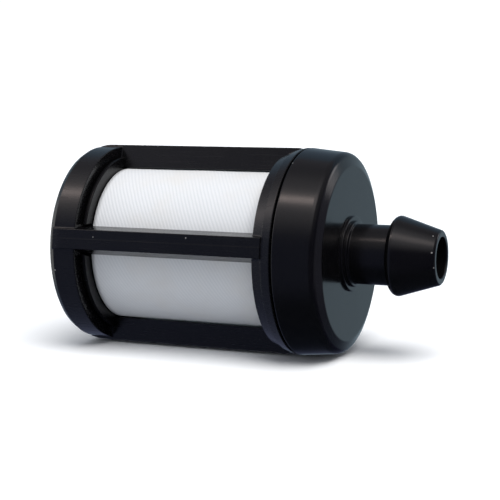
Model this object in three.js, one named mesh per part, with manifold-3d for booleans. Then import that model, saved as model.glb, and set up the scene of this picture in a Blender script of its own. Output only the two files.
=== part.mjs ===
// Fuel filter that lies in a small engine's tank on the end of a 5 mm hose: a slotted cage round a
// fabric-covered filter element, closed by a cap that carries the barbed outlet.
// Millimetres. The filter's axis runs along X, the outlet points to +X, and Z is up.
// Inside this file x = 0 is the parting line between cage and cap.

import * as THREE from "three";
import { mergeVertices } from "three/addons/utils/BufferGeometryUtils.js";
import Module from "manifold-3d";

const wasm = await Module();
wasm.setup();

// Driving dimensions
const rimRadius = 9.0; // cage and cap at the parting line
const partingGap = 0.15;
const cageLength = 20.9;
const capLength = 3.97;
const segments = 48;

// Cage
const coneRise = 0.64; // from the window's edge up to the rim
const bandWidth = 0.95; // raised band beside the parting line
const bandStep = 0.08;
const frontRingWidth = 1.87;
const frontRingWall = 0.4;
const endRingWidth = 2.55;
const endWall = 1.4;
const endChamfer = [0.33, 0.22]; // along the axis and across it
const ribCount = 4;
const ribClock = 8.5; // degrees from level, seen from the outlet's right
const ribSetback = 0.08; // below the rim
const ribProud = 0.18; // above the end ring
const ribDepth = 2.07;
const ribFace = 1.7; // width outside
const ribRoot = 2.5; // width inside
const ribStart = 0.35; // from the closed end
const ribRamp = 1.1; // length over which it rises out of the end ring

// Cap
const capTaper = 0.36;
const chamferLength = 0.42; // along the axis
const chamferWidth = 1.14; // across the face
const chamferRound = 0.3;
const capWall = 1.6;
const skirtLength = 1.4;
const skirtGap = 0.3; // between the skirt and the sleeve inside it
const collarRadii = [3.25, 2.85];
const collarStep = 0.25;

// Outlet
const boreRadius = 1.75;
const stemRadius = 2.58;
const stemLength = 3.73;
const nozzleLength = 7.93;
const barbRadius = 3.42;
const barbRise = 0.62; // length of the round shoulder behind the crest
const barbSteps = 7;
const tipRadius = 2.3;
const tipRound = 0.25;
const spigotWall = 0.8;
const spigotLength = 5.3; // behind the cap's inner face
const sealGroove = 0.45;
const sealOffset = 1.2; // from the spigot's end to the seal's middle

// Filter element
const sleeveThickness = 0.3;
const hubWall = 0.6;
const hubLength = 4.2;
const coreWall = 0.6;
const slotRows = 3;
const slotsRound = 6;
const slotWidth = 1.6;
const slotBridge = 1.4;
const flangeGap = 0.2; // open groove between the end ring and the element's flange
const flangeThickness = 0.35;
const collarFlange = 0.6;
const sinkerLength = 4.5;
const sinkerFloor = 0.6;

// Clearances
const pushFit = 0.1;
const looseFit = 0.25;
const sealFit = 0.05;

// Places worked out from the sizes above
const ribOuter = rimRadius - ribSetback;
const ribInner = ribOuter - ribDepth;
const endRingRadius = ribOuter - ribProud;
const windowRadius = rimRadius - coneRise;
const frontBore = windowRadius - frontRingWall;
const cupBore = ribInner;
const closedEnd = -cageLength;
const cupFloor = closedEnd + endWall;
const windowRear = closedEnd + endRingWidth;
const windowFront = -frontRingWidth;
const cageFace = -partingGap / 2;
const capBack = partingGap / 2;
const capFace = capLength;
const capInner = capFace - capWall;
const skirtEnd = -skirtLength;
const skirtRadius = frontBore - pushFit;
const sleeveRadius = ribInner - pushFit;
const skirtBore = sleeveRadius + skirtGap;
const flangeRadius = frontBore - pushFit;
const flangeRear = windowRear + flangeGap;
const flangeFront = flangeRear + flangeThickness;
const mediaRear = flangeFront + pushFit;
const collarFront = capInner - looseFit;
const mediaFront = collarFront - collarFlange - pushFit;
const spigotRadius = boreRadius + spigotWall;
const spigotEnd = capInner - spigotLength;
const collarBore = spigotRadius + pushFit;
const hubRadius = collarBore + hubWall;
const coreBore = hubRadius + pushFit;
const coreRadius = coreBore + coreWall;
const pocketRadius = hubRadius - hubWall;
const sinkerRear = cupFloor + looseFit;
const barbStart = capFace + stemLength;
const tipFace = capFace + nozzleLength;

const plastic = { color: 0x17181b, roughness: 0.38, metalness: 0 };

// A profile is a list of [x, radius] points. A third number rounds that corner by that radius.
function rounded(points, steps = 4) {
  const out = [];
  points.forEach(([x, r, radius], i) => {
    const corner = new THREE.Vector2(x, r);
    if (!radius) {
      out.push(corner);
      return;
    }
    const before = new THREE.Vector2(...points[i - 1].slice(0, 2)).sub(corner);
    const after = new THREE.Vector2(...points[i + 1].slice(0, 2)).sub(corner);
    const half = Math.abs(before.angleTo(after)) / 2;
    const reach = Math.min(radius / Math.tan(half), before.length() * 0.45, after.length() * 0.45);
    const start = corner.clone().add(before.setLength(reach));
    const end = corner.clone().add(after.setLength(reach));
    const curve = new THREE.QuadraticBezierCurve(start, corner, end);
    out.push(...curve.getPoints(steps));
  });
  return out;
}

// A solid turned about the X axis. Its profile runs with the solid on its right-hand side.
function turned(points) {
  const profile = rounded(points).map((p) => new THREE.Vector2(p.y, p.x));
  return new THREE.LatheGeometry(profile, segments).rotateZ(-Math.PI / 2);
}

// A ring between two radii and two places along the axis.
function ring(inner, outer, rear, front) {
  return turned([
    [rear, inner],
    [rear, outer],
    [front, outer],
    [front, inner],
    [rear, inner],
  ]);
}

// A plain cylinder on the axis.
function rod(radius, rear, front) {
  return turned([
    [rear, 0],
    [rear, radius],
    [front, radius],
    [front, 0],
  ]);
}

function solidFrom(geometry) {
  const bare = geometry.clone();
  bare.deleteAttribute("normal");
  bare.deleteAttribute("uv");
  const merged = mergeVertices(bare, 1e-4);
  return new wasm.Manifold(
    new wasm.Mesh({
      numProp: 3,
      vertProperties: merged.attributes.position.array,
      triVerts: new Uint32Array(merged.index.array),
    }),
  );
}

function geometryFrom(solid) {
  const { vertProperties, triVerts } = solid.getMesh();
  const geometry = new THREE.BufferGeometry();
  geometry.setAttribute("position", new THREE.BufferAttribute(vertProperties, 3));
  geometry.setIndex(new THREE.BufferAttribute(triVerts, 1));
  geometry.computeVertexNormals();
  return geometry;
}

function joined(geometries) {
  return geometries.map(solidFrom).reduce((all, next) => all.add(next));
}

function cut(solid, geometries) {
  return geometries.map(solidFrom).reduce((left, tool) => left.subtract(tool), solid);
}

// The bar of one rib, wider towards its root, grown by a clearance where it cuts a notch.
function ribBar(index, rear, front, clearance) {
  const face = ribFace / 2 + clearance;
  const root = ribRoot / 2 + clearance;
  const low = ribInner - clearance;
  const high = ribOuter + clearance;
  const section = new THREE.Shape();
  section.moveTo(-root, low);
  section.lineTo(root, low);
  section.lineTo(face, high);
  section.lineTo(-face, high);
  section.closePath();
  const bar = new THREE.ExtrudeGeometry(section, { depth: front - rear, bevelEnabled: false });
  const angle = THREE.MathUtils.degToRad(ribClock + (index * 360) / ribCount);
  const across = new THREE.Vector3(0, Math.sin(angle), Math.cos(angle));
  const outward = new THREE.Vector3(0, -Math.cos(angle), Math.sin(angle));
  const along = new THREE.Vector3(1, 0, 0);
  bar.applyMatrix4(new THREE.Matrix4().makeBasis(across, outward, along));
  return bar.translate(rear, 0, 0);
}

// The space that the ribs keep within: it rises as a ramp from the end ring at their rear ends.
function ribEnvelope() {
  const rear = closedEnd + ribStart;
  const high = Math.hypot(ribOuter, ribFace);
  return turned([
    [rear, 0],
    [rear, endRingRadius],
    [rear + ribRamp, high],
    [0, high],
    [0, 0],
  ]);
}

function everyRib(rear, front, clearance = 0) {
  return Array.from({ length: ribCount }, (_, i) => ribBar(i, rear, front, clearance));
}

function cage() {
  const [chamferLength, chamferDepth] = endChamfer;
  const endCup = turned([
    [closedEnd, 0],
    [closedEnd, endRingRadius - chamferDepth],
    [closedEnd + chamferLength, endRingRadius],
    [windowRear, endRingRadius],
    [windowRear, cupBore],
    [cupFloor, cupBore],
    [cupFloor, 0],
  ]);
  const bandRear = -bandWidth;
  const bandRadius = windowRadius + (coneRise * (frontRingWidth - bandWidth)) / frontRingWidth;
  const frontRing = turned([
    [windowFront, frontBore],
    [windowFront, windowRadius],
    [bandRear, bandRadius],
    [bandRear, bandRadius + bandStep],
    [cageFace, rimRadius, partingGap],
    [cageFace, frontBore],
    [windowFront, frontBore],
  ]);
  const bars = joined(everyRib(closedEnd, bandRear)).intersect(solidFrom(ribEnvelope()));
  const whole = joined([endCup, frontRing]).add(bars);
  const cup = rod(cupBore, cupFloor, windowRear);
  const mouth = rod(frontBore, windowFront, 0);
  return geometryFrom(cut(whole, [cup, mouth]));
}

// The barb's shoulder: a quarter of an ellipse up to the crest, and on until its slope meets the cone.
function barbShoulder() {
  const height = barbRadius - stemRadius;
  const slope = (barbRadius - tipRadius) / (tipFace - barbStart - barbRise);
  const last = Math.PI / 2 + Math.atan((slope * barbRise) / height);
  return Array.from({ length: barbSteps + 1 }, (_, i) => {
    const turn = (last * i) / barbSteps;
    return [barbStart + barbRise * (1 - Math.cos(turn)), stemRadius + height * Math.sin(turn)];
  });
}

function outletCap() {
  const edge = rimRadius - capTaper;
  const [wide, narrow] = collarRadii;
  const sealPlace = spigotEnd + sealOffset;
  const sealHalf = sealGroove / 2 + pushFit;
  return turned([
    [spigotEnd, boreRadius],
    [spigotEnd, spigotRadius],
    [sealPlace - sealHalf, spigotRadius],
    [sealPlace - sealHalf, spigotRadius - sealGroove],
    [sealPlace + sealHalf, spigotRadius - sealGroove],
    [sealPlace + sealHalf, spigotRadius],
    [capInner, spigotRadius],
    [capInner, skirtBore],
    [skirtEnd, skirtBore],
    [skirtEnd, skirtRadius],
    [capBack, skirtRadius],
    [capBack, rimRadius, partingGap],
    [capFace - chamferLength, edge, chamferRound],
    [capFace, edge - chamferWidth, chamferRound],
    [capFace, wide],
    [capFace + collarStep, wide],
    [capFace + collarStep, narrow],
    [capFace + 2 * collarStep, narrow],
    [capFace + 2 * collarStep, stemRadius],
    ...barbShoulder(),
    [tipFace, tipRadius, tipRound],
    [tipFace, boreRadius],
    [spigotEnd, boreRadius],
  ]);
}

function sealRing() {
  const bottom = spigotRadius - sealGroove;
  const middle = (bottom + collarBore) / 2;
  const thickness = (collarBore - bottom) / 2 - sealFit;
  const torus = new THREE.TorusGeometry(middle, thickness, 10, segments);
  return torus.rotateY(Math.PI / 2).translate(spigotEnd + sealOffset, 0, 0);
}

// The collar that carries the media on the cap's spigot.
function elementCollar() {
  const flangeRear = collarFront - collarFlange;
  return turned([
    [collarFront - hubLength, collarBore],
    [collarFront - hubLength, hubRadius],
    [flangeRear, hubRadius],
    [flangeRear, sleeveRadius],
    [collarFront, sleeveRadius],
    [collarFront, collarBore],
    [collarFront - hubLength, collarBore],
  ]);
}

// The end cap: a plug in the cage's cup, a flange notched for the ribs and a hub with the sinker's pocket.
function elementEndCap() {
  const pocketFloor = sinkerRear + sinkerLength + pushFit;
  const body = turned([
    [pocketFloor, 0],
    [pocketFloor, pocketRadius],
    [sinkerRear, pocketRadius],
    [sinkerRear, cupBore - looseFit],
    [flangeRear, cupBore - looseFit],
    [flangeRear, flangeRadius],
    [flangeFront, flangeRadius],
    [flangeFront, hubRadius],
    [pocketFloor + sinkerFloor, hubRadius],
    [pocketFloor + sinkerFloor, 0],
  ]);
  const notches = everyRib(flangeRear - looseFit, flangeFront + looseFit, looseFit);
  return geometryFrom(cut(solidFrom(body), notches));
}

function coreTube() {
  const tube = ring(coreBore, coreRadius, mediaRear, mediaFront);
  const pitch = (mediaFront - mediaRear) / slotRows;
  const slots = [];
  for (let row = 0; row < slotRows; row++) {
    for (let turn = 0; turn < slotsRound / 2; turn++) {
      const slot = new THREE.BoxGeometry(pitch - slotBridge, 4 * coreRadius, slotWidth);
      slot.rotateX((turn * 2 * Math.PI) / slotsRound);
      slots.push(slot.translate(mediaRear + (row + 0.5) * pitch, 0, 0));
    }
  }
  return geometryFrom(cut(solidFrom(tube), slots));
}

const filter = new THREE.Group();
filter.position.set((cageLength - tipFace) / 2, 0, rimRadius);

function place(name, geometry, look) {
  const mesh = new THREE.Mesh(geometry, new THREE.MeshStandardMaterial(look));
  mesh.name = name;
  filter.add(mesh);
}

place("cage", cage(), plastic);
place("outlet_cap", outletCap(), plastic);
place("seal_ring", sealRing(), { color: 0x101010, roughness: 0.8, metalness: 0 });
place("element_collar", elementCollar(), plastic);
place("element_end_cap", elementEndCap(), plastic);
place("core_tube", coreTube(), { color: 0xd8d8d2, roughness: 0.5, metalness: 0 });
place("felt_layer", ring(coreRadius + pushFit, sleeveRadius - sleeveThickness - pushFit, mediaRear, mediaFront), {
  color: 0xe6e2d6,
  roughness: 1,
  metalness: 0,
});
place("screen_sleeve", ring(sleeveRadius - sleeveThickness, sleeveRadius, mediaRear, mediaFront), {
  color: 0xeeeeee,
  roughness: 0.9,
  metalness: 0,
});
place("sinker_weight", rod(pocketRadius - pushFit, sinkerRear, sinkerRear + sinkerLength), {
  color: 0x9a9ca0,
  roughness: 0.35,
  metalness: 1,
});

export default filter;
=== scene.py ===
import math
import bmesh
import bpy
import numpy as np
from mathutils import Matrix, Vector


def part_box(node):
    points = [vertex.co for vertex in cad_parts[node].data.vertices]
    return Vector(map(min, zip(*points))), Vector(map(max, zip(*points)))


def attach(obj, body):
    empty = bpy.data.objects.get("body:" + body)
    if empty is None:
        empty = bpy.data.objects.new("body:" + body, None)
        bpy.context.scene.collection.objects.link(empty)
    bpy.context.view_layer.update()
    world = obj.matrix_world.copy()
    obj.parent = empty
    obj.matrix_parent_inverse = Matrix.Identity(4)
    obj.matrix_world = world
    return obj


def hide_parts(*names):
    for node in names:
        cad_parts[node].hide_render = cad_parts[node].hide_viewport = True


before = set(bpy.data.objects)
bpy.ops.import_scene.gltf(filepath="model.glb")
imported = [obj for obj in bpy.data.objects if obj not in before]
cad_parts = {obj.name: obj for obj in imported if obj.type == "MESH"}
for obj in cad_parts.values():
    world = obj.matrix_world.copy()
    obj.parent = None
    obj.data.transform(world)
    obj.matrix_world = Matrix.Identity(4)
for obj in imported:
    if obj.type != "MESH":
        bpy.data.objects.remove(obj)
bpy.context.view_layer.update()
print("frame loaded")

mm = 0.001
cageLow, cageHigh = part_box("cage")
capLow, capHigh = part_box("outlet_cap")
sleeveLow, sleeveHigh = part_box("screen_sleeve")
flangeLow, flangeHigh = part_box("element_end_cap")
collarLow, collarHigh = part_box("element_collar")
coreLow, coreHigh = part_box("core_tube")
feltLow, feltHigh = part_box("felt_layer")
sealLow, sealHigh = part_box("seal_ring")
sinkerLow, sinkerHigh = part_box("sinker_weight")

# Every shape below is drawn in millimetres from the parting line between cage and cap, on the axis.
partingGap = 0.15
partingX = cageHigh.x + partingGap / 2 * mm
axisZ = (sleeveLow.z + sleeveHigh.z) / 2


def along(x):
    return (x - partingX) / mm


def radiusOf(low, high):
    return (high.z - low.z) / 2 / mm


rim = {
    "radius": 9.0,
    "closedEnd": along(cageLow.x),
    "tip": along(capHigh.x),
}


# Outlines and turned pieces

def rounded(points, steps=6):  # [x, radius] or [x, radius, round]
    out = []
    count = len(points)
    for i, point in enumerate(points):
        corner = np.array(point[:2], float)
        if len(point) < 3:
            out.append(corner)
            continue
        before = np.array(points[i - 1][:2], float) - corner
        after = np.array(points[(i + 1) % count][:2], float) - corner
        lenBefore, lenAfter = np.linalg.norm(before), np.linalg.norm(after)
        before, after = before / lenBefore, after / lenAfter
        half = math.acos(np.clip(before @ after, -1, 1)) / 2
        reach = min(point[2] / math.tan(half), 0.46 * lenBefore, 0.46 * lenAfter)
        radius = reach * math.tan(half)
        middle = corner + (before + after) / np.linalg.norm(before + after) * radius / math.sin(half)
        start, end = corner + before * reach - middle, corner + after * reach - middle
        turn = math.pi - 2 * half
        side = np.sign(start[0] * end[1] - start[1] * end[0])
        hold = min(reach * 0.12, 0.03)
        out.append(corner + before * (reach + hold))
        for s in range(steps + 1):
            a = side * turn * s / steps
            spin = np.array([[math.cos(a), -math.sin(a)], [math.sin(a), math.cos(a)]])
            out.append(middle + spin @ start)
        out.append(corner + after * (reach + hold))
    return np.array(out)


def toWorld(x, angle, radius):  # angle 0 faces the viewer's side, -Y, and grows upwards
    return np.stack([
        partingX + x * mm,
        -radius * np.cos(angle) * mm,
        axisZ + radius * np.sin(angle) * mm,
    ], axis=-1)


def makePiece(name, verts, faces, body, material, replaces):
    mesh = bpy.data.meshes.new(name)
    mesh.from_pydata([tuple(v) for v in verts], [], [tuple(f) for f in faces])
    mesh.validate()
    piece = bpy.data.objects.new(name, mesh)
    bpy.context.scene.collection.objects.link(piece)
    mesh.materials.append(material)
    work = bmesh.new()
    work.from_mesh(mesh)
    bmesh.ops.recalc_face_normals(work, faces=work.faces)
    work.to_mesh(mesh)
    work.free()
    mesh.shade_smooth()
    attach(piece, body)
    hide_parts(replaces)
    return piece


def turnedMesh(profile, segments=256, ripple=None):
    profile = np.asarray(profile, float)
    angles = np.arange(segments) * 2 * math.pi / segments
    onAxis = profile[:, 1] < 1e-6
    verts, rows = [], []
    for (x, r), pole in zip(profile, onAxis):
        if pole:
            rows.append([len(verts)] * segments)
            verts.append(toWorld(x, 0.0, 0.0))
            continue
        radius = np.full(segments, r) if ripple is None else r + ripple(x, angles, r)
        rows.append(list(range(len(verts), len(verts) + segments)))
        verts.extend(toWorld(np.full(segments, x), angles, radius))
    faces = []
    last = len(profile) if not onAxis.any() else len(profile) - 1
    for i in range(last):
        a, b = rows[i], rows[(i + 1) % len(rows)]
        for j in range(segments):
            k = (j + 1) % segments
            loop = [a[j], a[k], b[k], b[j]]
            faces.append(list(dict.fromkeys(loop)))
    return verts, faces


# Pieces with windows, ribs or slots: the surface of a distance field on a polar grid

def insetOutline(points, depth):
    points = np.asarray(points, float)
    ahead = np.roll(points, -1, 0) - points
    area = np.sum(points[:, 0] * np.roll(points[:, 1], -1) - np.roll(points[:, 0], -1) * points[:, 1])
    normal = np.stack([-ahead[:, 1], ahead[:, 0]], 1) / np.linalg.norm(ahead, axis=1)[:, None]
    normal *= np.sign(area)
    out = []
    for i in range(len(points)):
        n0, n1 = normal[i - 1], normal[i]
        out.append(points[i] + depth * (n0 + n1) / (1 + n0 @ n1))
    return np.array(out)


def outlineDistance(points, u, v):
    nearest = np.full(u.shape, 1e9)
    inside = np.zeros(u.shape, bool)
    for i in range(len(points)):
        (ax, ay), (bx, by) = points[i - 1], points[i]
        ex, ey = bx - ax, by - ay
        wx, wy = u - ax, v - ay
        share = np.clip((wx * ex + wy * ey) / (ex * ex + ey * ey), 0, 1)
        nearest = np.minimum(nearest, (wx - ex * share) ** 2 + (wy - ey * share) ** 2)
        crosses = ((ay > v) != (by > v)) & (u < ex * (v - ay) / (ey if ey else 1e-12) + ax)
        inside ^= crosses
    return np.sqrt(nearest) * np.where(inside, -1, 1)


def softMin(a, b, blend):
    h = np.clip(blend - np.abs(a - b), 0, None) / blend
    return np.minimum(a, b) - h * h * h * blend / 6


def softMax(a, b, blend):
    return -softMin(-a, -b, blend)


def ticks(low, high, keys, fine, reach, coarse):
    marks = list(np.arange(low, high + coarse, coarse))
    near = [k + s for k in keys for s in np.arange(-reach, reach + fine / 2, fine)]
    marks = [m for m in marks if not near or min(abs(m - n) for n in near) > 0.6 * fine]
    ordered = sorted(marks + near)
    kept = [ordered[0]]
    for m in ordered[1:]:
        if m - kept[-1] > 0.5 * fine:
            kept.append(m)
    return np.array(kept)


def roundTicks(keys, fine, reach, coarse):  # once round the axis, from a place between two ribs
    seam = -math.pi / 3
    marks = ticks(seam, seam + 2 * math.pi - 0.02, keys, fine, reach, coarse)
    return marks[marks < seam + 2 * math.pi - 0.004]


def gradient(field, x, t, r, step=0.004):
    gx = (field(x + step, t, r) - field(x - step, t, r)) / (2 * step)
    gt = (field(x, t + step / r, r) - field(x, t - step / r, r)) / (2 * step)
    gr = (field(x, t, r + step) - field(x, t, r - step)) / (2 * step)
    return gx, gt, gr


def polarMesh(field, xs, ts, rs):
    nx, nt, nr = len(xs), len(ts), len(rs)
    period = 2 * math.pi
    value = field(xs[:, None, None], ts[None, :, None], rs[None, None, :])
    solid = value < 0
    total = np.zeros((nx - 1, nt, nr - 1, 3))
    count = np.zeros((nx - 1, nt, nr - 1))
    tWrap = np.append(ts, ts[0] + period)
    gridX, gridT, gridR = np.meshgrid(xs, ts, rs, indexing="ij")

    def crossing(a, b):
        va, vb = value[a], value[b]
        hit = solid[a] != solid[b]
        return hit, np.where(hit, va / np.where(hit, va - vb, 1), 0)

    whole = slice(None)
    low, high = slice(None, -1), slice(1, None)
    # edges along x
    hitX, s = crossing((low, whole, whole), (high, whole, whole))
    px = xs[:-1, None, None] + s * (xs[1:] - xs[:-1])[:, None, None]
    pt, pr = gridT[:-1], gridR[:-1]
    for dj in (0, 1):
        for part in (slice(None, nr - 1), slice(1, None)):
            hit = hitX[:, :, part].astype(float)
            places = (np.broadcast_to(px, pt.shape)[:, :, part], pt[:, :, part], pr[:, :, part])
            shift = [np.roll(hit * a, -dj, 1) for a in (*places, 1.0)]
            if dj:
                shift[1][:, -1] += shift[3][:, -1] * period
            total[..., 0] += shift[0]
            total[..., 1] += shift[1]
            total[..., 2] += shift[2]
            count += shift[3]
    # edges round the axis
    va, vb = value, np.roll(value, -1, 1)
    hitT = solid != np.roll(solid, -1, 1)
    s = np.where(hitT, va / np.where(hitT, va - vb, 1), 0)
    ptT = gridT + s * (tWrap[1:] - tWrap[:-1])[None, :, None]
    for xa in (slice(None, nx - 1), slice(1, None)):
        for ra in (slice(None, nr - 1), slice(1, None)):
            hit = hitT[xa, :, ra]
            total[..., 0] += hit * gridX[xa, :, ra]
            total[..., 1] += hit * ptT[xa, :, ra]
            total[..., 2] += hit * gridR[xa, :, ra]
            count += hit
    # edges along the radius
    hitR, s = crossing((whole, whole, low), (whole, whole, high))
    prR = rs[None, None, :-1] + s * (rs[1:] - rs[:-1])[None, None, :]
    for dj in (0, 1):
        for xa in (slice(None, nx - 1), slice(1, None)):
            hit = hitR[xa].astype(float)
            places = (gridX[xa, :, :-1], gridT[xa, :, :-1], prR[xa])
            shift = [np.roll(hit * a, -dj, 1) for a in (*places, 1.0)]
            if dj:
                shift[1][:, -1] += shift[3][:, -1] * period
            total[..., 0] += shift[0]
            total[..., 1] += shift[1]
            total[..., 2] += shift[2]
            count += shift[3]

    used = count > 0
    number = np.full(used.shape, -1)
    number[used] = np.arange(used.sum())
    x, t, r = (total[used] / count[used][:, None]).T
    for _ in range(4):
        gx, gt, gr = gradient(field, x, t, r)
        size = np.maximum(gx * gx + gt * gt + gr * gr, 0.2)
        away = np.clip(field(x, t, r), -0.1, 0.1) / size
        x, t, r = x - away * gx, t - away * gt / r, r - away * gr

    quads = []

    def addQuads(hit, inward, corners):
        a, b, c, d = (n[hit] for n in corners)
        flip = inward[hit]
        good = (a >= 0) & (b >= 0) & (c >= 0) & (d >= 0)
        q = np.stack([a, np.where(flip, b, d), c, np.where(flip, d, b)], 1)
        quads.append(q[good])

    back = np.roll(number, 1, 1)
    addQuads(hitX[:, :, 1:-1], solid[:-1, :, 1:-1],
             (back[:, :, :-1], number[:, :, :-1], number[:, :, 1:], back[:, :, 1:]))
    addQuads(hitT[1:-1, :, 1:-1], solid[1:-1, :, 1:-1],
             (number[:-1, :, :-1], number[:-1, :, 1:], number[1:, :, 1:], number[1:, :, :-1]))
    addQuads(hitR[1:-1], solid[1:-1, :, :-1],
             (back[:-1], back[1:], number[1:], number[:-1]))
    faces = np.concatenate(quads)
    gx, gt, gr = gradient(field, x, t, r)
    normals = np.stack([
        gx,
        -gr * np.cos(t) + gt * np.sin(t),
        gr * np.sin(t) + gt * np.cos(t),
    ], 1)
    normals /= np.linalg.norm(normals, axis=1)[:, None]
    return toWorld(x, t, r), faces, normals


def polarPiece(name, field, grid, body, material, replaces):
    verts, faces, normals = polarMesh(field, *grid)
    mesh = bpy.data.meshes.new(name)
    mesh.from_pydata(verts.tolist(), [], faces.tolist())
    work = bmesh.new()
    work.from_mesh(mesh)
    open_ = [e for e in work.edges if e.is_boundary]
    seen = set()
    for edge in open_:
        if edge in seen:
            continue
        loop, todo = set(), [edge]
        while todo:
            e = todo.pop()
            if e in loop:
                continue
            loop.add(e)
            todo += [n for v in e.verts for n in v.link_edges if n.is_boundary and n not in loop]
        seen |= loop
        middleX = sum(e.verts[0].co.x + e.verts[1].co.x for e in loop) / 2 / len(loop)
        middle = work.verts.new((middleX, 0, axisZ))
        for e in loop:
            work.faces.new((e.verts[0], e.verts[1], middle))
    bmesh.ops.recalc_face_normals(work, faces=work.faces)
    work.normal_update()
    extra = [tuple(v.normal) for v in list(work.verts)[len(verts):]]
    work.to_mesh(mesh)
    work.free()
    piece = bpy.data.objects.new(name, mesh)
    bpy.context.scene.collection.objects.link(piece)
    mesh.materials.append(material)
    mesh.shade_smooth()
    mesh.normals_split_custom_set_from_vertices([tuple(n) for n in normals] + extra)
    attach(piece, body)
    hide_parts(replaces)
    print(name, len(mesh.vertices), "points")
    return piece


# Shader groups

def newGroup(name, inputs, outputs):
    group = bpy.data.node_groups.new(name, "ShaderNodeTree")
    for label, value in inputs.items():
        kind = "NodeSocketVector" if label == "Vector" else "NodeSocketFloat"
        socket = group.interface.new_socket(label, in_out="INPUT", socket_type=kind)
        if value is not None:
            socket.default_value = value
    for label in outputs:
        group.interface.new_socket(label, in_out="OUTPUT", socket_type="NodeSocketFloat")
    return group, group.nodes.new("NodeGroupInput"), group.nodes.new("NodeGroupOutput")


def mathNode(tree, operation, a, b=None):
    node = tree.nodes.new("ShaderNodeMath")
    node.operation = operation
    for slot, value in enumerate((a, b)):
        if value is None:
            continue
        if hasattr(value, "is_linked"):
            tree.links.new(value, node.inputs[slot])
        else:
            node.inputs[slot].default_value = value
    return node.outputs[0]


def noiseNode(tree, vector, scale, detail=2.0, roughness=0.5):
    node = tree.nodes.new("ShaderNodeTexNoise")
    node.inputs["Detail"].default_value = detail
    node.inputs["Roughness"].default_value = roughness
    tree.links.new(vector, node.inputs["Vector"])
    if hasattr(scale, "is_linked"):
        tree.links.new(scale, node.inputs["Scale"])
    else:
        node.inputs["Scale"].default_value = scale
    return node.outputs["Fac"]


def rampNode(tree, value, low, high):
    node = tree.nodes.new("ShaderNodeMapRange")
    node.interpolation_type = "SMOOTHSTEP"
    node.inputs["From Min"].default_value = low
    node.inputs["From Max"].default_value = high
    tree.links.new(value, node.inputs["Value"])
    return node.outputs["Result"]


def buildGrain():  # the fine skin of a moulded surface over its slow waviness
    inputs = {"Vector": None, "Fine": 9000.0, "Slow": 260.0}
    group, start, end = newGroup("mouldGrain", inputs, ["Height", "Patch"])
    fine = noiseNode(group, start.outputs["Vector"], start.outputs["Fine"], 3.0)
    slow = noiseNode(group, start.outputs["Vector"], start.outputs["Slow"], 1.0)
    mixed = mathNode(group, "ADD", mathNode(group, "MULTIPLY", fine, 0.1), slow)
    group.links.new(mixed, end.inputs["Height"])
    patchScale = mathNode(group, "MULTIPLY", start.outputs["Slow"], 2.3)
    patch = noiseNode(group, start.outputs["Vector"], patchScale, 4.0, 0.6)
    group.links.new(patch, end.inputs["Patch"])
    return group


def buildNicks():  # small pale nicks and grains of dust, sparse
    group, start, end = newGroup("nicks", {"Vector": None, "Scale": 900.0, "Amount": 0.1}, ["Mask"])
    cells = group.nodes.new("ShaderNodeTexVoronoi")
    group.links.new(start.outputs["Vector"], cells.inputs["Vector"])
    group.links.new(start.outputs["Scale"], cells.inputs["Scale"])
    spot = rampNode(group, cells.outputs["Distance"], 0.16, 0.04)
    chance = mathNode(group, "LESS_THAN", cells.outputs["Color"], start.outputs["Amount"])
    rough = noiseNode(group, start.outputs["Vector"], 5200.0, 2.0)
    mask = mathNode(group, "MULTIPLY", spot, chance)
    mask = mathNode(group, "MULTIPLY", mask, rampNode(group, rough, 0.42, 0.6))
    group.links.new(mask, end.inputs["Mask"])
    return group


def buildScuff():  # streaks left along the piece by the mould and by handling
    group, start, end = newGroup("scuff", {"Vector": None, "Across": 3200.0, "Stretch": 0.05}, ["Mask"])
    squash = group.nodes.new("ShaderNodeCombineXYZ")
    parts = group.nodes.new("ShaderNodeSeparateXYZ")
    group.links.new(start.outputs["Vector"], parts.inputs[0])
    squashed = mathNode(group, "MULTIPLY", parts.outputs[0], start.outputs["Stretch"])
    group.links.new(squashed, squash.inputs[0])
    group.links.new(parts.outputs[1], squash.inputs[1])
    group.links.new(parts.outputs[2], squash.inputs[2])
    lines = noiseNode(group, squash.outputs[0], start.outputs["Across"], 3.0, 0.6)
    group.links.new(rampNode(group, lines, 0.5, 0.75), end.inputs["Mask"])
    return group


grainGroup, nickGroup, scuffGroup = buildGrain(), buildNicks(), buildScuff()
print("shader groups built")


def placeGroup(tree, group, vector, values):
    node = tree.nodes.new("ShaderNodeGroup")
    node.node_tree = group
    tree.links.new(vector, node.inputs["Vector"])
    for label, value in values.items():
        node.inputs[label].default_value = value
    return node


def newMaterial(name):
    material = bpy.data.materials.new(name)
    material.use_nodes = True
    tree = material.node_tree
    shader = tree.nodes["Principled BSDF"]
    coords = tree.nodes.new("ShaderNodeTexCoord").outputs["Object"]
    return material, tree, shader, coords


def mixColor(tree, factor, first, second):
    node = tree.nodes.new("ShaderNodeMix")
    node.data_type = "RGBA"
    tree.links.new(factor, node.inputs["Factor"])
    for slot, value in ((6, first), (7, second)):
        if hasattr(value, "is_linked"):
            tree.links.new(value, node.inputs[slot])
        else:
            node.inputs[slot].default_value = (*value, 1)
    return node.outputs[2]


def addColor(tree, factor, first, second):
    total = mixColor(tree, factor, first, second)
    total.node.blend_type = "ADD"
    return total


def bumpNode(tree, height, strength, distance, normal=None):
    node = tree.nodes.new("ShaderNodeBump")
    node.inputs["Strength"].default_value = strength
    node.inputs["Distance"].default_value = distance
    tree.links.new(height, node.inputs["Height"])
    if normal is not None:
        tree.links.new(normal, node.inputs["Normal"])
    return node.outputs["Normal"]


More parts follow.
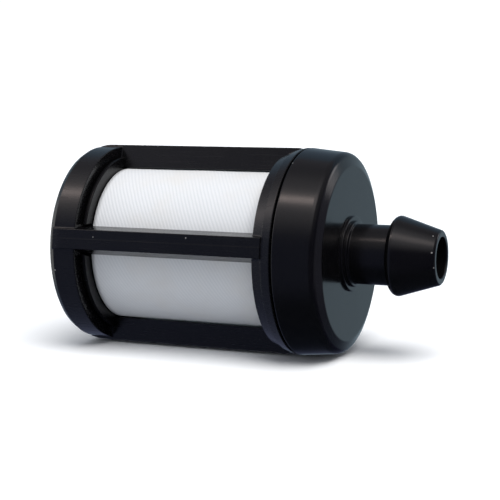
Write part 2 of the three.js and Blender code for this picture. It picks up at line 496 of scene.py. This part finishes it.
def markMask(tree, coords, marks):  # single nicks and specks: x, angle in degrees, radius, size
    mask = None
    for x, angle, radius, size in marks:
        away = tree.nodes.new("ShaderNodeVectorMath")
        away.operation = "DISTANCE"
        away.inputs[1].default_value = toWorld(np.float64(x), math.radians(angle), radius)
        tree.links.new(coords, away.inputs[0])
        spot = rampNode(tree, away.outputs["Value"], size * mm, 0.3 * size * mm)
        mask = spot if mask is None else mathNode(tree, "MAXIMUM", mask, spot)
    return mask


def mouldedPlastic(name, look):
    material, tree, shader, coords = newMaterial(name)
    grain = placeGroup(tree, grainGroup, coords, {"Fine": look["fine"], "Slow": look["slow"]})
    nickValues = {"Scale": look["nickScale"], "Amount": look["nickAmount"]}
    nicks = placeGroup(tree, nickGroup, coords, nickValues)
    scuff = placeGroup(tree, scuffGroup, coords, {"Across": look["streaks"], "Stretch": 0.05})
    body = mixColor(tree, grain.outputs["Patch"], look["dark"], look["light"])
    worn = mixColor(tree, nicks.outputs["Mask"], body, look["nick"])
    if look["marks"]:
        worn = mixColor(tree, markMask(tree, coords, look["marks"]), worn, look["speck"])
    tree.links.new(worn, shader.inputs["Base Color"])
    patch = mathNode(tree, "MULTIPLY", grain.outputs["Patch"], look["roughSpread"])
    streak = mathNode(tree, "MULTIPLY", scuff.outputs["Mask"], look["streakRough"])
    rough = mathNode(tree, "ADD", mathNode(tree, "ADD", patch, streak), look["rough"])
    tree.links.new(rough, shader.inputs["Roughness"])
    skin = bumpNode(tree, grain.outputs["Height"], look["bump"], 0.00004)
    tree.links.new(bumpNode(tree, nicks.outputs["Mask"], 0.3, 0.00004, skin), shader.inputs["Normal"])
    shader.inputs["Specular IOR Level"].default_value = look["specular"]
    return material


def wovenCloth(name, look):  # twill: fine diagonal ribs over crossing threads
    material, tree, shader, coords = newMaterial(name)
    parts = tree.nodes.new("ShaderNodeSeparateXYZ")
    tree.links.new(coords, parts.inputs[0])
    x, y, z = parts.outputs
    height = mathNode(tree, "SUBTRACT", z, axisZ)
    angle = mathNode(tree, "ARCTAN2", height, mathNode(tree, "MULTIPLY", y, -1.0))
    girth = mathNode(tree, "MULTIPLY", angle, look["radius"])
    wobble = noiseNode(tree, coords, 160.0, 2.0)
    bend = mathNode(tree, "MULTIPLY", wobble, look["wander"])

    def wave(alongShare, roundShare, pitch, shift=None):
        lengthwise = mathNode(tree, "MULTIPLY", x, alongShare)
        path = mathNode(tree, "ADD", lengthwise, mathNode(tree, "MULTIPLY", girth, roundShare))
        if shift is not None:
            path = mathNode(tree, "ADD", path, shift)
        return mathNode(tree, "SINE", mathNode(tree, "MULTIPLY", path, 2 * math.pi / pitch))

    turn = math.radians(look["twillAngle"])
    twill = wave(math.sin(turn), math.cos(turn), look["twillPitch"], bend)
    warp = wave(0.0, 1.0, look["thread"])
    weft = wave(1.0, 0.0, look["thread"])
    cross = mathNode(tree, "MULTIPLY", warp, weft)
    fuzz = noiseNode(tree, coords, 9000.0, 3.0, 0.7)
    threads = None
    for layer, share in ((twill, 0.6), (cross, 0.25), (fuzz, 0.5)):
        raised = mathNode(tree, "MULTIPLY", layer, share)
        threads = raised if threads is None else mathNode(tree, "ADD", threads, raised)
    # Colour follows the thread relief: the darker colour in the hollows between threads is painted shade,
    # and the fuzz noise adds random tone.
    shade = rampNode(tree, threads, -0.7, 0.9)
    stain = noiseNode(tree, coords, 220.0, 3.0)
    cloth = mixColor(tree, shade, look["valleyShade"], look["raised"])
    soiled = mixColor(tree, rampNode(tree, stain, 0.45, 0.8), cloth, look["soiled"])
    tree.links.new(soiled, shader.inputs["Base Color"])
    tree.links.new(bumpNode(tree, threads, look["bump"], 0.00002), shader.inputs["Normal"])
    rough = mathNode(tree, "ADD", mathNode(tree, "MULTIPLY", fuzz, 0.2), 0.65)
    tree.links.new(rough, shader.inputs["Roughness"])
    shader.inputs["Sheen Weight"].default_value = look["sheen"]
    shader.inputs["Specular IOR Level"].default_value = 0.3
    return material


def plainMaterial(name, look):  # felt, natural plastic, rubber and steel of the hidden pieces
    material, tree, shader, coords = newMaterial(name)
    grain = placeGroup(tree, grainGroup, coords, {"Fine": look["fine"], "Slow": look["slow"]})
    body = mixColor(tree, grain.outputs["Patch"], look["dark"], look["light"])
    tree.links.new(body, shader.inputs["Base Color"])
    patch = mathNode(tree, "MULTIPLY", grain.outputs["Patch"], look["roughSpread"])
    tree.links.new(mathNode(tree, "ADD", patch, look["rough"]), shader.inputs["Roughness"])
    skin = bumpNode(tree, grain.outputs["Height"], look["bump"], look["depth"])
    tree.links.new(skin, shader.inputs["Normal"])
    shader.inputs["Metallic"].default_value = look["metal"]
    return material


blackLook = {
    "dark": (0.0018, 0.0018, 0.0023), "light": (0.0038, 0.0035, 0.0037), "nick": (0.30, 0.27, 0.25),
    "fine": 9000.0, "slow": 240.0, "nickScale": 620.0, "nickAmount": 0.035, "streaks": 4200.0,
    "rough": 0.13, "roughSpread": 0.08, "streakRough": 0.05, "bump": 0.3, "specular": 0.5,
    "marks": [], "speck": (0.22, 0.21, 0.20),
}
capMarks = [
    (0.112, 62.3, 8.99, 0.15), (11.64, 17.3, 2.38, 0.1),
    (11.5, 55.0, 2.43, 0.08), (11.85, -13.5, 2.32, 0.1),
]
cageMarks = [
    (-7.6, 12.0, 8.92, 0.09), (-16.39, 10.1, 8.92, 0.07),
    (-20.34, -10.0, 8.74, 0.1), (-1.44, 40.9, 8.4, 0.07),
]
cageLook = {**blackLook, "rough": 0.2, "bump": 0.4, "streakRough": 0.12, "marks": cageMarks}
capPlastic = mouldedPlastic("capPlastic", {**blackLook, "marks": capMarks})
cagePlastic = mouldedPlastic("cagePlastic", cageLook)
elementPlastic = mouldedPlastic("elementPlastic", {**blackLook, "rough": 0.2, "specular": 0.3})
weaveLook = {
    "radius": 0.0067, "twillAngle": 62.0, "twillPitch": 0.00030, "thread": 0.00015, "wander": 0.00035,
    # valleyShade and raised: the weave colour in its hollows and on its threads; the darker hollows are
    # painted shade.
    "valleyShade": (0.64, 0.645, 0.655), "raised": (0.70, 0.70, 0.705), "soiled": (0.67, 0.65, 0.63),
    "bump": 0.3, "sheen": 0.05,
}
whiteWeave = wovenCloth("whiteWeave", weaveLook)
feltCloth = plainMaterial("feltCloth", {
    "dark": (0.62, 0.58, 0.50), "light": (0.80, 0.77, 0.70), "fine": 4200.0, "slow": 900.0,
    "rough": 0.85, "roughSpread": 0.15, "bump": 1.0, "depth": 0.0001, "metal": 0.0,
})
naturalPlastic = plainMaterial("naturalPlastic", {
    "dark": (0.66, 0.66, 0.61), "light": (0.76, 0.76, 0.72), "fine": 9000.0, "slow": 300.0,
    "rough": 0.42, "roughSpread": 0.12, "bump": 0.3, "depth": 0.00004, "metal": 0.0,
})
sealRubber = plainMaterial("sealRubber", {
    "dark": (0.008, 0.008, 0.008), "light": (0.02, 0.02, 0.02), "fine": 8000.0, "slow": 600.0,
    "rough": 0.55, "roughSpread": 0.2, "bump": 0.4, "depth": 0.00003, "metal": 0.0,
})
platedSteel = plainMaterial("platedSteel", {
    "dark": (0.42, 0.43, 0.45), "light": (0.62, 0.63, 0.64), "fine": 7000.0, "slow": 500.0,
    "rough": 0.28, "roughSpread": 0.2, "bump": 0.3, "depth": 0.00003, "metal": 1.0,
})
print("materials built")


# The cage

cage = {
    "edge": 0.07, "fillet": 0.2,
    "endRing": 8.74, "endRingWidth": 2.55, "endWall": 1.4, "endChamfer": (0.5, 0.3),
    "windowEdge": 8.36, "frontRing": 1.87, "frontBore": 7.96,
    "band": 0.95, "bandRadius": 8.675, "bandStep": 0.08,
    "ribs": 4, "clock": math.radians(8.5), "ribOuter": 8.92, "ribInner": 6.82,
    "ribFace": 1.7, "ribRoot": 2.5, "ribStart": 0.35, "ribRamp": 1.1, "flash": 0.018,
}


def buildCage():
    c = cage
    end, face = rim["closedEnd"], -partingGap / 2
    window = end + c["endRingWidth"]
    floor = end + c["endWall"]
    chamferLength, chamferDepth = c["endChamfer"]
    endCup = [
        (end, -1), (end, c["endRing"] - chamferDepth),
        (end + chamferLength, c["endRing"]), (window, c["endRing"]),
        (window, c["ribInner"]), (floor, c["ribInner"]), (floor, -1),
    ]
    frontRing = [
        (-c["frontRing"], c["frontBore"]), (-c["frontRing"], c["windowEdge"]),
        (-c["band"], c["bandRadius"]),
        (-c["band"], c["bandRadius"] + c["bandStep"]),
        (face, rim["radius"]), (face, c["frontBore"]),
    ]
    half, root = c["ribFace"] / 2, c["ribRoot"] / 2
    section = [
        (-root, c["ribInner"]), (root, c["ribInner"]), (half, c["ribOuter"]), (-half, c["ribOuter"]),
    ]
    mouth = [(-c["frontRing"], -1), (-c["frontRing"], c["frontBore"]), (1, c["frontBore"]), (1, -1)]
    cup = [(floor, -1), (floor, c["ribInner"]), (window, c["ribInner"]), (window, -1)]
    endCup, frontRing, section = (insetOutline(p, c["edge"]) for p in (endCup, frontRing, section))
    step = 2 * math.pi / c["ribs"]
    start = end + c["ribStart"]
    slope = math.atan2(c["ribOuter"] - c["endRing"] + 0.1, c["ribRamp"])

    def field(x, t, r):
        x, t, r = np.broadcast_arrays(x, t, r)
        rings = np.minimum(outlineDistance(endCup, x, r), outlineDistance(frontRing, x, r)) - c["edge"]
        turn = (t - c["clock"] + step / 2) % step - step / 2
        across, out = r * np.sin(turn), r * np.cos(turn)
        bar = outlineDistance(section, across, out) - c["edge"]
        bar = bar - c["flash"] * np.exp(-(across / 0.05) ** 2) * (out > c["ribOuter"] - 0.3)
        ramp = (out - c["endRing"]) * math.cos(slope) - (x - start) * math.sin(slope)
        bar = softMax(bar, ramp, 0.12)
        bar = softMax(bar, start - x, 0.05)
        bar = softMax(bar, x + c["band"] - 0.02, 0.05)
        bar = softMax(bar, -outlineDistance(mouth, x, r), 0.05)
        bar = softMax(bar, -outlineDistance(cup, x, r), 0.05)
        return softMin(rings, bar, c["fillet"])

    xs = ticks(end - 0.15, face + 0.15, [
        end, end + chamferLength, floor, window, start + c["ribRamp"], -c["frontRing"], -c["band"], face,
    ], 0.04, 0.2, 0.45)
    ribKeys = []
    for i in range(c["ribs"]):
        middle = c["clock"] + i * step
        halfway = (c["ribOuter"] + c["ribInner"]) / 2
        corners = ((c["ribOuter"], half), (c["ribInner"], root), (halfway, (half + root) / 2), (100, 0.0))
        for high, wide in corners:
            ribKeys += [middle + math.atan2(wide, high), middle - math.atan2(wide, high)]
    ts = roundTicks(sorted(set(ribKeys)), 0.0055, 0.028, 0.026)
    radii = [c["ribInner"], c["frontBore"], c["windowEdge"], c["endRing"], c["ribOuter"], rim["radius"]]
    rs = ticks(0.6, rim["radius"] + 0.25, radii, 0.045, 0.18, 0.3)
    print("cage grid", len(xs), len(ts), len(rs))
    grid = (xs, ts, rs)
    return polarPiece("cageShell", field, grid, "housing", cagePlastic, "cage")


buildCage()
print("cage built")


# The outlet cap

cap = {
    "edgeRound": 0.13, "taper": 0.36, "length": 3.97,
    "chamfer": (0.42, 1.14), "kneeRound": 0.7, "faceRound": 0.5, "wall": 1.6,
    "skirt": 1.4, "skirtRadius": 7.86, "skirtBore": 7.05, "collar": (3.25, 2.85), "collarStep": 0.25,
    "bore": 1.75, "stem": 2.58, "stemLength": 3.73, "barb": 3.42, "barbRise": 0.62,
    "tipRadius": 2.3, "tipRound": 0.25, "spigot": 2.55, "seal": 0.45, "sealOffset": 1.2,
}


def barbShoulder(start, tip, steps=22):  # an ellipse up to the crest and on until it meets the cone
    c = cap
    height = c["barb"] - c["stem"]
    slope = (c["barb"] - c["tipRadius"]) / (tip - start - c["barbRise"])
    last = math.pi / 2 + math.atan(slope * c["barbRise"] / height)
    turns = [last * i / steps for i in range(1, steps + 1)]
    return [(start + c["barbRise"] * (1 - math.cos(a)), c["stem"] + height * math.sin(a)) for a in turns]


def buildCap():
    c = cap
    back, face, tip = partingGap / 2, c["length"], rim["tip"]
    spigotEnd = along(capLow.x)
    inner = face - c["wall"]
    edge = rim["radius"] - c["taper"]
    chamferLength, chamferWidth = c["chamfer"]
    wide, narrow = c["collar"]
    sealAt = spigotEnd + c["sealOffset"]
    sealHalf = c["seal"] / 2 + 0.1
    barb = face + c["stemLength"]
    outline = rounded([
        (spigotEnd, c["bore"], 0.1), (spigotEnd, c["spigot"], 0.15),
        (sealAt - sealHalf, c["spigot"], 0.04), (sealAt - sealHalf, c["spigot"] - c["seal"], 0.08),
        (sealAt + sealHalf, c["spigot"] - c["seal"], 0.08), (sealAt + sealHalf, c["spigot"], 0.04),
        (inner, c["spigot"], 0.2), (inner, c["skirtBore"], 0.25),
        (-c["skirt"], c["skirtBore"], 0.12), (-c["skirt"], c["skirtRadius"], 0.2),
        (back, c["skirtRadius"], 0.05), (back, rim["radius"], c["edgeRound"]),
        (face - chamferLength, edge, c["kneeRound"]), (face, edge - chamferWidth, c["faceRound"]),
        (face, wide, 0.04), (face + c["collarStep"], wide, 0.1),
        (face + c["collarStep"], narrow, 0.03), (face + 2 * c["collarStep"], narrow, 0.1),
        (face + 2 * c["collarStep"], c["stem"], 0.08), (barb, c["stem"], 0.06),
        *barbShoulder(barb, tip), (tip, c["tipRadius"], c["tipRound"]), (tip, c["bore"], 0.1),
    ], 7)
    verts, faces = turnedMesh(outline, 288)
    return makePiece("capShell", verts, faces, "cartridge", capPlastic, "outlet_cap")


buildCap()
print("cap built")


# The filter element

element = {
    "plug": 6.6, "flange": 7.86, "hub": 3.25, "pocket": 2.65, "edge": 0.1,
    "flangeGap": 0.2, "flangeThickness": 0.35, "pocketFloor": 0.6, "notchGap": 0.2,
    "cloth": 0.22, "clothProud": 0.05, "clothSlack": 0.008, "collarFlange": 0.6,
}


def buildSleeve():
    rear, front = along(sleeveLow.x), along(sleeveHigh.x)
    outer = radiusOf(sleeveLow, sleeveHigh)
    inner, proud = outer - element["cloth"], outer + element["clothProud"]
    steps = 48
    outside = [(rear + (front - rear) * i / steps, proud) for i in range(steps + 1)]
    inside = [(rear + (front - rear) * i / steps, inner) for i in range(steps, -1, -1)]

    def ripple(x, angles, r):  # slight slack of the cloth between its ends
        slack = element["clothSlack"] * math.sin(math.pi * (x - rear) / (front - rear))
        broad = np.sin(5 * angles + 0.4 * x) * np.sin(0.9 * x + 2)
        return slack * (broad + np.sin(9 * angles - 0.7 * x) - 1)

    verts, faces = turnedMesh(outside + inside, 192, ripple)
    piece = makePiece("meshSleeve", verts, faces, "cartridge", whiteWeave,
                      "screen_sleeve")
    return piece


def buildFlange():
    c = cage
    low, high = along(flangeLow.x), along(flangeHigh.x)
    window = rim["closedEnd"] + c["endRingWidth"]
    rear = window + element["flangeGap"]
    front = rear + element["flangeThickness"]
    pocketFloor = high - element["pocketFloor"]
    outline = insetOutline([
        (pocketFloor, -1), (pocketFloor, element["pocket"]),
        (low, element["pocket"]), (low, element["plug"]),
        (rear, element["plug"]), (rear, element["flange"]),
        (front, element["flange"]), (front, element["hub"]),
        (high, element["hub"]), (high, -1),
    ], element["edge"])
    gap = element["notchGap"]
    face, root = c["ribFace"] / 2 + gap, c["ribRoot"] / 2 + gap
    notchLow, notchHigh = c["ribInner"] - gap, c["ribOuter"] + gap
    notch = [(-root, notchLow), (root, notchLow), (face, notchHigh), (-face, notchHigh)]
    step = 2 * math.pi / c["ribs"]

    def field(x, t, r):
        x, t, r = np.broadcast_arrays(x, t, r)
        body = outlineDistance(outline, x, r) - element["edge"]
        turn = (t - c["clock"] + step / 2) % step - step / 2
        bars = outlineDistance(notch, r * np.sin(turn), r * np.cos(turn))
        bars = np.maximum(bars, rear - 0.3 - x)
        return softMax(body, -bars, 0.08)

    xs = ticks(low - 0.15, high + 0.15, [low, rear, front, pocketFloor, high], 0.05, 0.15, 0.4)
    keys = []
    for i in range(c["ribs"]):
        for a in (math.atan2(root, c["ribInner"]), math.atan2(face + 0.15, element["flange"])):
            keys += [c["clock"] + i * step + a, c["clock"] + i * step - a]
    ts = roundTicks(sorted(keys), 0.007, 0.028, 0.03)
    radii = [element[k] for k in ("pocket", "hub", "plug", "flange")]
    rs = ticks(0.5, element["flange"] + 0.2, radii, 0.05, 0.15, 0.35)
    grid = (xs, ts, rs)
    return polarPiece("endCap", field, grid, "cartridge", elementPlastic,
                      "element_end_cap")


def ringOutline(inner, outer, rear, front, edge):
    return rounded([
        (rear, inner, edge), (rear, outer, edge), (front, outer, edge), (front, inner, edge),
    ], 4)


def buildFelt():
    rear, front = along(feltLow.x), along(feltHigh.x)
    outer = radiusOf(feltLow, feltHigh)
    inner = radiusOf(coreLow, coreHigh) + 0.1
    verts, faces = turnedMesh(ringOutline(inner, outer, rear, front, 0.25), 160)
    return makePiece("feltMedia", verts, faces, "cartridge", feltCloth, "felt_layer")


def buildCollar():
    rear, front = along(collarLow.x), along(collarHigh.x)
    outer = radiusOf(collarLow, collarHigh)
    bore, step = element["pocket"], front - element["collarFlange"]
    outline = rounded([
        (rear, bore, 0.08), (rear, element["hub"], 0.1), (step, element["hub"], 0.1),
        (step, outer, 0.1), (front, outer, 0.15), (front, bore, 0.15),
    ], 4)
    verts, faces = turnedMesh(outline, 160)
    return makePiece("frontCollar", verts, faces, "cartridge", elementPlastic,
                     "element_collar")


def buildSeal():
    outer = radiusOf(sealLow, sealHigh)
    half = (sealHigh.x - sealLow.x) / 2 / mm
    middle = along((sealHigh.x + sealLow.x) / 2)
    turns = [i * 2 * math.pi / 20 for i in range(20)]
    outline = [(middle + half * math.cos(a), outer - half + half * math.sin(a)) for a in turns]
    verts, faces = turnedMesh(outline, 128)
    return makePiece("oRing", verts, faces, "cartridge", sealRubber, "seal_ring")


def buildSinker():
    rear, front = along(sinkerLow.x), along(sinkerHigh.x)
    outer = radiusOf(sinkerLow, sinkerHigh)
    outline = rounded([(rear, 0), (rear, outer, 0.25), (front, outer, 0.25), (front, 0)], 5)
    verts, faces = turnedMesh(outline, 128)
    return makePiece("sinkerSlug", verts, faces, "cartridge", platedSteel,
                     "sinker_weight")


core = {"wall": 0.6, "edge": 0.08, "rows": 3, "around": 6, "slot": 1.6, "bridge": 1.4, "slotRound": 0.3}


def buildCore():
    rear, front = along(coreLow.x), along(coreHigh.x)
    outer = radiusOf(coreLow, coreHigh)
    inner = outer - core["wall"]
    tube = insetOutline([(rear, inner), (rear, outer), (front, outer), (front, inner)], core["edge"])
    rows, around, width, bridge = (core[k] for k in ("rows", "around", "slot", "bridge"))
    pitch = (front - rear) / rows
    step = 2 * math.pi / around

    def field(x, t, r):
        x, t, r = np.broadcast_arrays(x, t, r)
        wall = outlineDistance(tube, x, r) - core["edge"]
        turn = (t + step / 2) % step - step / 2
        corner = core["slotRound"]
        across = np.abs(r * np.sin(turn)) - width / 2 + corner
        lengthwise = np.abs((x - rear) % pitch - pitch / 2) - (pitch - bridge) / 2 + corner
        beside = np.hypot(np.maximum(across, 0), np.maximum(lengthwise, 0))
        slot = beside + np.minimum(np.maximum(across, lengthwise), 0) - corner
        return softMax(wall, -slot, core["edge"])

    ends = (bridge / 2, pitch - bridge / 2)
    xKeys = [rear, front] + [rear + i * pitch + s for i in range(rows) for s in ends]
    xs = ticks(rear - 0.15, front + 0.15, xKeys, 0.07, 0.21, 0.5)
    tKeys = [i * step + s * math.atan2(width / 2, outer) for i in range(around) for s in (-1, 1)]
    ts = ticks(-0.4, 2 * math.pi - 0.45, tKeys, 0.02, 0.06, 0.06)
    rs = ticks(inner - 0.2, outer + 0.2, [inner, outer], 0.05, 0.15, 0.2)
    grid = (xs, ts, rs)
    return polarPiece("coreTube", field, grid, "cartridge", naturalPlastic,
                      "core_tube")


buildSleeve()
buildFlange()
buildFelt()
buildCollar()
buildSeal()
buildSinker()
buildCore()
print("filter element built")


# Floor, light and camera

def buildFloor():
    mesh = bpy.data.meshes.new("floor")
    side = 1.5
    corners = [(-side, -side, 0), (side, -side, 0), (side, side, 0), (-side, side, 0)]
    mesh.from_pydata(corners, [], [(0, 1, 2, 3)])
    floor = bpy.data.objects.new("floor", mesh)
    bpy.context.scene.collection.objects.link(floor)
    material = bpy.data.materials.new("paleFloor")
    material.use_nodes = True
    shader = material.node_tree.nodes["Principled BSDF"]
    tree = material.node_tree
    seen = tree.nodes.new("ShaderNodeLightPath").outputs["Is Camera Ray"]
    paint = mixColor(tree, seen, (0.52, 0.54, 0.57), (0.98, 0.98, 0.98))
    tree.links.new(paint, shader.inputs["Base Color"])
    shader.inputs["Roughness"].default_value = 0.9
    shader.inputs["Specular IOR Level"].default_value = 0.0
    mesh.materials.append(material)
    floor.visible_glossy = False


studio = {  # what gloss sees, by direction
    "front": (0.08, 0.09, 0.15), "frontLeft": (0.15, 0.17, 0.27), "frontRight": (0.02, 0.02, 0.05),
    "under": (0.02, 0.025, 0.04),
    "overhead": (0.19, 0.185, 0.21), "closedEnd": (0.85, 0.86, 0.86),
    "outletEnd": (0.13, 0.13, 0.18),
    "behind": (0.285, 0.37, 0.43), "behindHigh": (0.15, 0.21, 0.28),
    "glow": (0.56, 0.54, 0.55), "glowCore": (0.90, 0.78, 0.74), "glowTilt": 25.0,
    "fill": (0.87, 0.92, 1.0), "fillStrength": 0.55,
}


def buildWorld():
    world = bpy.data.worlds.new("studio")
    bpy.context.scene.world = world
    world.use_nodes = True
    tree = world.node_tree
    parts = tree.nodes.new("ShaderNodeSeparateXYZ")
    tree.links.new(tree.nodes.new("ShaderNodeTexCoord").outputs["Generated"], parts.inputs[0])
    x, y, z = parts.outputs
    left = rampNode(tree, x, -0.3, -0.5)
    low = mixColor(tree, left, studio["front"], studio["frontLeft"])
    low = mixColor(tree, rampNode(tree, x, 0.0, 0.3), low, studio["frontRight"])
    right = mathNode(tree, "SUBTRACT", 1.0, left)
    deep = mathNode(tree, "MULTIPLY", rampNode(tree, z, -0.4, -0.85), right)
    low = mixColor(tree, deep, low, studio["under"])
    before = mixColor(tree, rampNode(tree, z, 0.25, 0.75), low, studio["overhead"])
    backdrop = mixColor(tree, rampNode(tree, z, 0.0, 0.5), studio["behind"], studio["behindHigh"])
    backdrop = mixColor(tree, rampNode(tree, x, 0.5, 0.72), backdrop, studio["outletEnd"])
    edge = mathNode(tree, "SUBTRACT", y, mathNode(tree, "MULTIPLY", z, 0.766))
    level = rampNode(tree, z, -0.5, -0.25)
    behind = mathNode(tree, "MULTIPLY", rampNode(tree, edge, -0.02, 0.06), level)
    room = mixColor(tree, behind, before, backdrop)
    room = mixColor(tree, rampNode(tree, x, -0.88, -0.97), room, studio["closedEnd"])
    tilt = mathNode(tree, "ARCTAN2", mathNode(tree, "MULTIPLY", y, -1.0), z)
    offset = mathNode(tree, "SUBTRACT", tilt, math.radians(studio["glowTilt"]))
    away = mathNode(tree, "ABSOLUTE", offset)
    aside = mathNode(tree, "ABSOLUTE", mathNode(tree, "ADD", x, 0.33))
    gate = mathNode(tree, "MULTIPLY", rampNode(tree, aside, 0.06, 0.14), 0.88)
    gate = mathNode(tree, "ADD", gate, 0.12)
    gate = mathNode(tree, "MULTIPLY", gate, rampNode(tree, x, 0.5, 0.3))
    for color, wide, narrow in ((studio["glow"], 0.78, 0.12), (studio["glowCore"], 0.26, 0.04)):
        amount = mathNode(tree, "MULTIPLY", rampNode(tree, away, wide, narrow), gate)
        room = addColor(tree, amount, room, color)

    def shell(color, strength):
        node = tree.nodes.new("ShaderNodeBackground")
        node.inputs["Strength"].default_value = strength
        if hasattr(color, "is_linked"):
            tree.links.new(color, node.inputs["Color"])
        else:
            node.inputs["Color"].default_value = (*color, 1)
        return node.outputs[0]

    def choose(factor, first, second):
        node = tree.nodes.new("ShaderNodeMixShader")
        tree.links.new(factor, node.inputs["Fac"])
        tree.links.new(first, node.inputs[1])
        tree.links.new(second, node.inputs[2])
        return node.outputs[0]

    path = tree.nodes.new("ShaderNodeLightPath")
    fill = shell(studio["fill"], studio["fillStrength"])
    lit = choose(path.outputs["Is Glossy Ray"], fill, shell(room, 1.0))
    seen = choose(path.outputs["Is Camera Ray"], lit, shell((1, 1, 1), 1.05))
    tree.links.new(seen, tree.nodes["World Output"].inputs["Surface"])


def addLight(name, look):
    data = bpy.data.lights.new(name, look["kind"])
    if look["kind"] == "AREA":
        data.shape = "RECTANGLE"
        data.size, data.size_y = look["size"]
    else:
        data.angle = math.radians(look["spread"])
    data.energy = look["power"]
    data.color = look["color"]
    light = bpy.data.objects.new(name, data)
    bpy.context.scene.collection.objects.link(light)
    target = Vector((partingX - 0.008, 0, axisZ))
    a, e = math.radians(look["azimuth"]), math.radians(look["elevation"])
    back = Vector((math.sin(a) * math.cos(e), -math.cos(a) * math.cos(e), math.sin(e)))
    light.location = target + back * look["distance"]
    side = Vector((1, 0, 0))
    side = (side - back * side.dot(back)).normalized()  # its long side runs with the object's axis
    light.rotation_mode = "QUATERNION"
    light.rotation_quaternion = Matrix((side, back.cross(side), back)).transposed().to_quaternion()
    light.visible_glossy = look["gloss"]
    light.visible_diffuse = look["diffuse"]
    return light


lights = {
    "topSoft": {
        "kind": "SUN", "spread": 44, "power": 2.9, "color": (1, 1, 1),
        "azimuth": 44, "elevation": 62, "distance": 0.6, "gloss": False, "diffuse": True,
    },
    "capStrip": {
        "kind": "AREA", "size": (0.075, 0.075), "power": 0.062, "color": (1.0, 0.82, 0.76),
        "azimuth": -24.9, "elevation": 62.3, "distance": 0.6, "gloss": True, "diffuse": False,
    },
    "endStrip": {
        "kind": "AREA", "size": (0.09, 0.075), "power": 0.09, "color": (1.0, 0.82, 0.76),
        "azimuth": -55.5, "elevation": 51.9, "distance": 0.6, "gloss": True, "diffuse": False,
    },
    "rearCard": {
        "kind": "AREA", "size": (0.16, 0.16), "power": 0.12, "color": (1.0, 0.95, 0.95),
        "azimuth": 136, "elevation": 20.0, "distance": 0.6, "gloss": True, "diffuse": False,
    },
}


def buildCamera():
    view = {
        "azimuth": 20.5543, "elevation": 7.602, "distance": 13 * rim["radius"] * mm,
        "lens": 96.762, "panned": 2.4878, "tilted": 0.0577,
    }
    data = bpy.data.cameras.new("camera")
    data.lens = view["lens"]
    data.sensor_width = 36
    data.clip_start, data.clip_end = 0.01, 20
    camera = bpy.data.objects.new("camera", data)
    bpy.context.scene.collection.objects.link(camera)
    a, e = math.radians(view["azimuth"]), math.radians(view["elevation"])
    back = Vector((math.sin(a) * math.cos(e), -math.cos(a) * math.cos(e), math.sin(e)))
    right = Vector((math.cos(a), math.sin(a), 0))
    up = back.cross(right)
    camera.location = Vector((partingX, 0, axisZ)) + back * view["distance"]
    pan, tilt = math.radians(view["panned"]), math.radians(view["tilted"])
    ahead = -back
    side = right * math.cos(pan) + ahead * math.sin(pan)
    ahead = -right * math.sin(pan) + ahead * math.cos(pan)
    top = up * math.cos(tilt) - ahead * math.sin(tilt)
    ahead = up * math.sin(tilt) + ahead * math.cos(tilt)
    turn = Matrix((side, top, -ahead)).transposed()
    camera.rotation_mode = "QUATERNION"
    camera.rotation_quaternion = turn.to_quaternion()
    bpy.context.scene.camera = camera


buildFloor()
buildWorld()
for lightName, lightLook in lights.items():
    addLight(lightName, lightLook)
buildCamera()
bpy.context.scene.view_settings.view_transform = "Standard"
print("stage, light and camera ready")
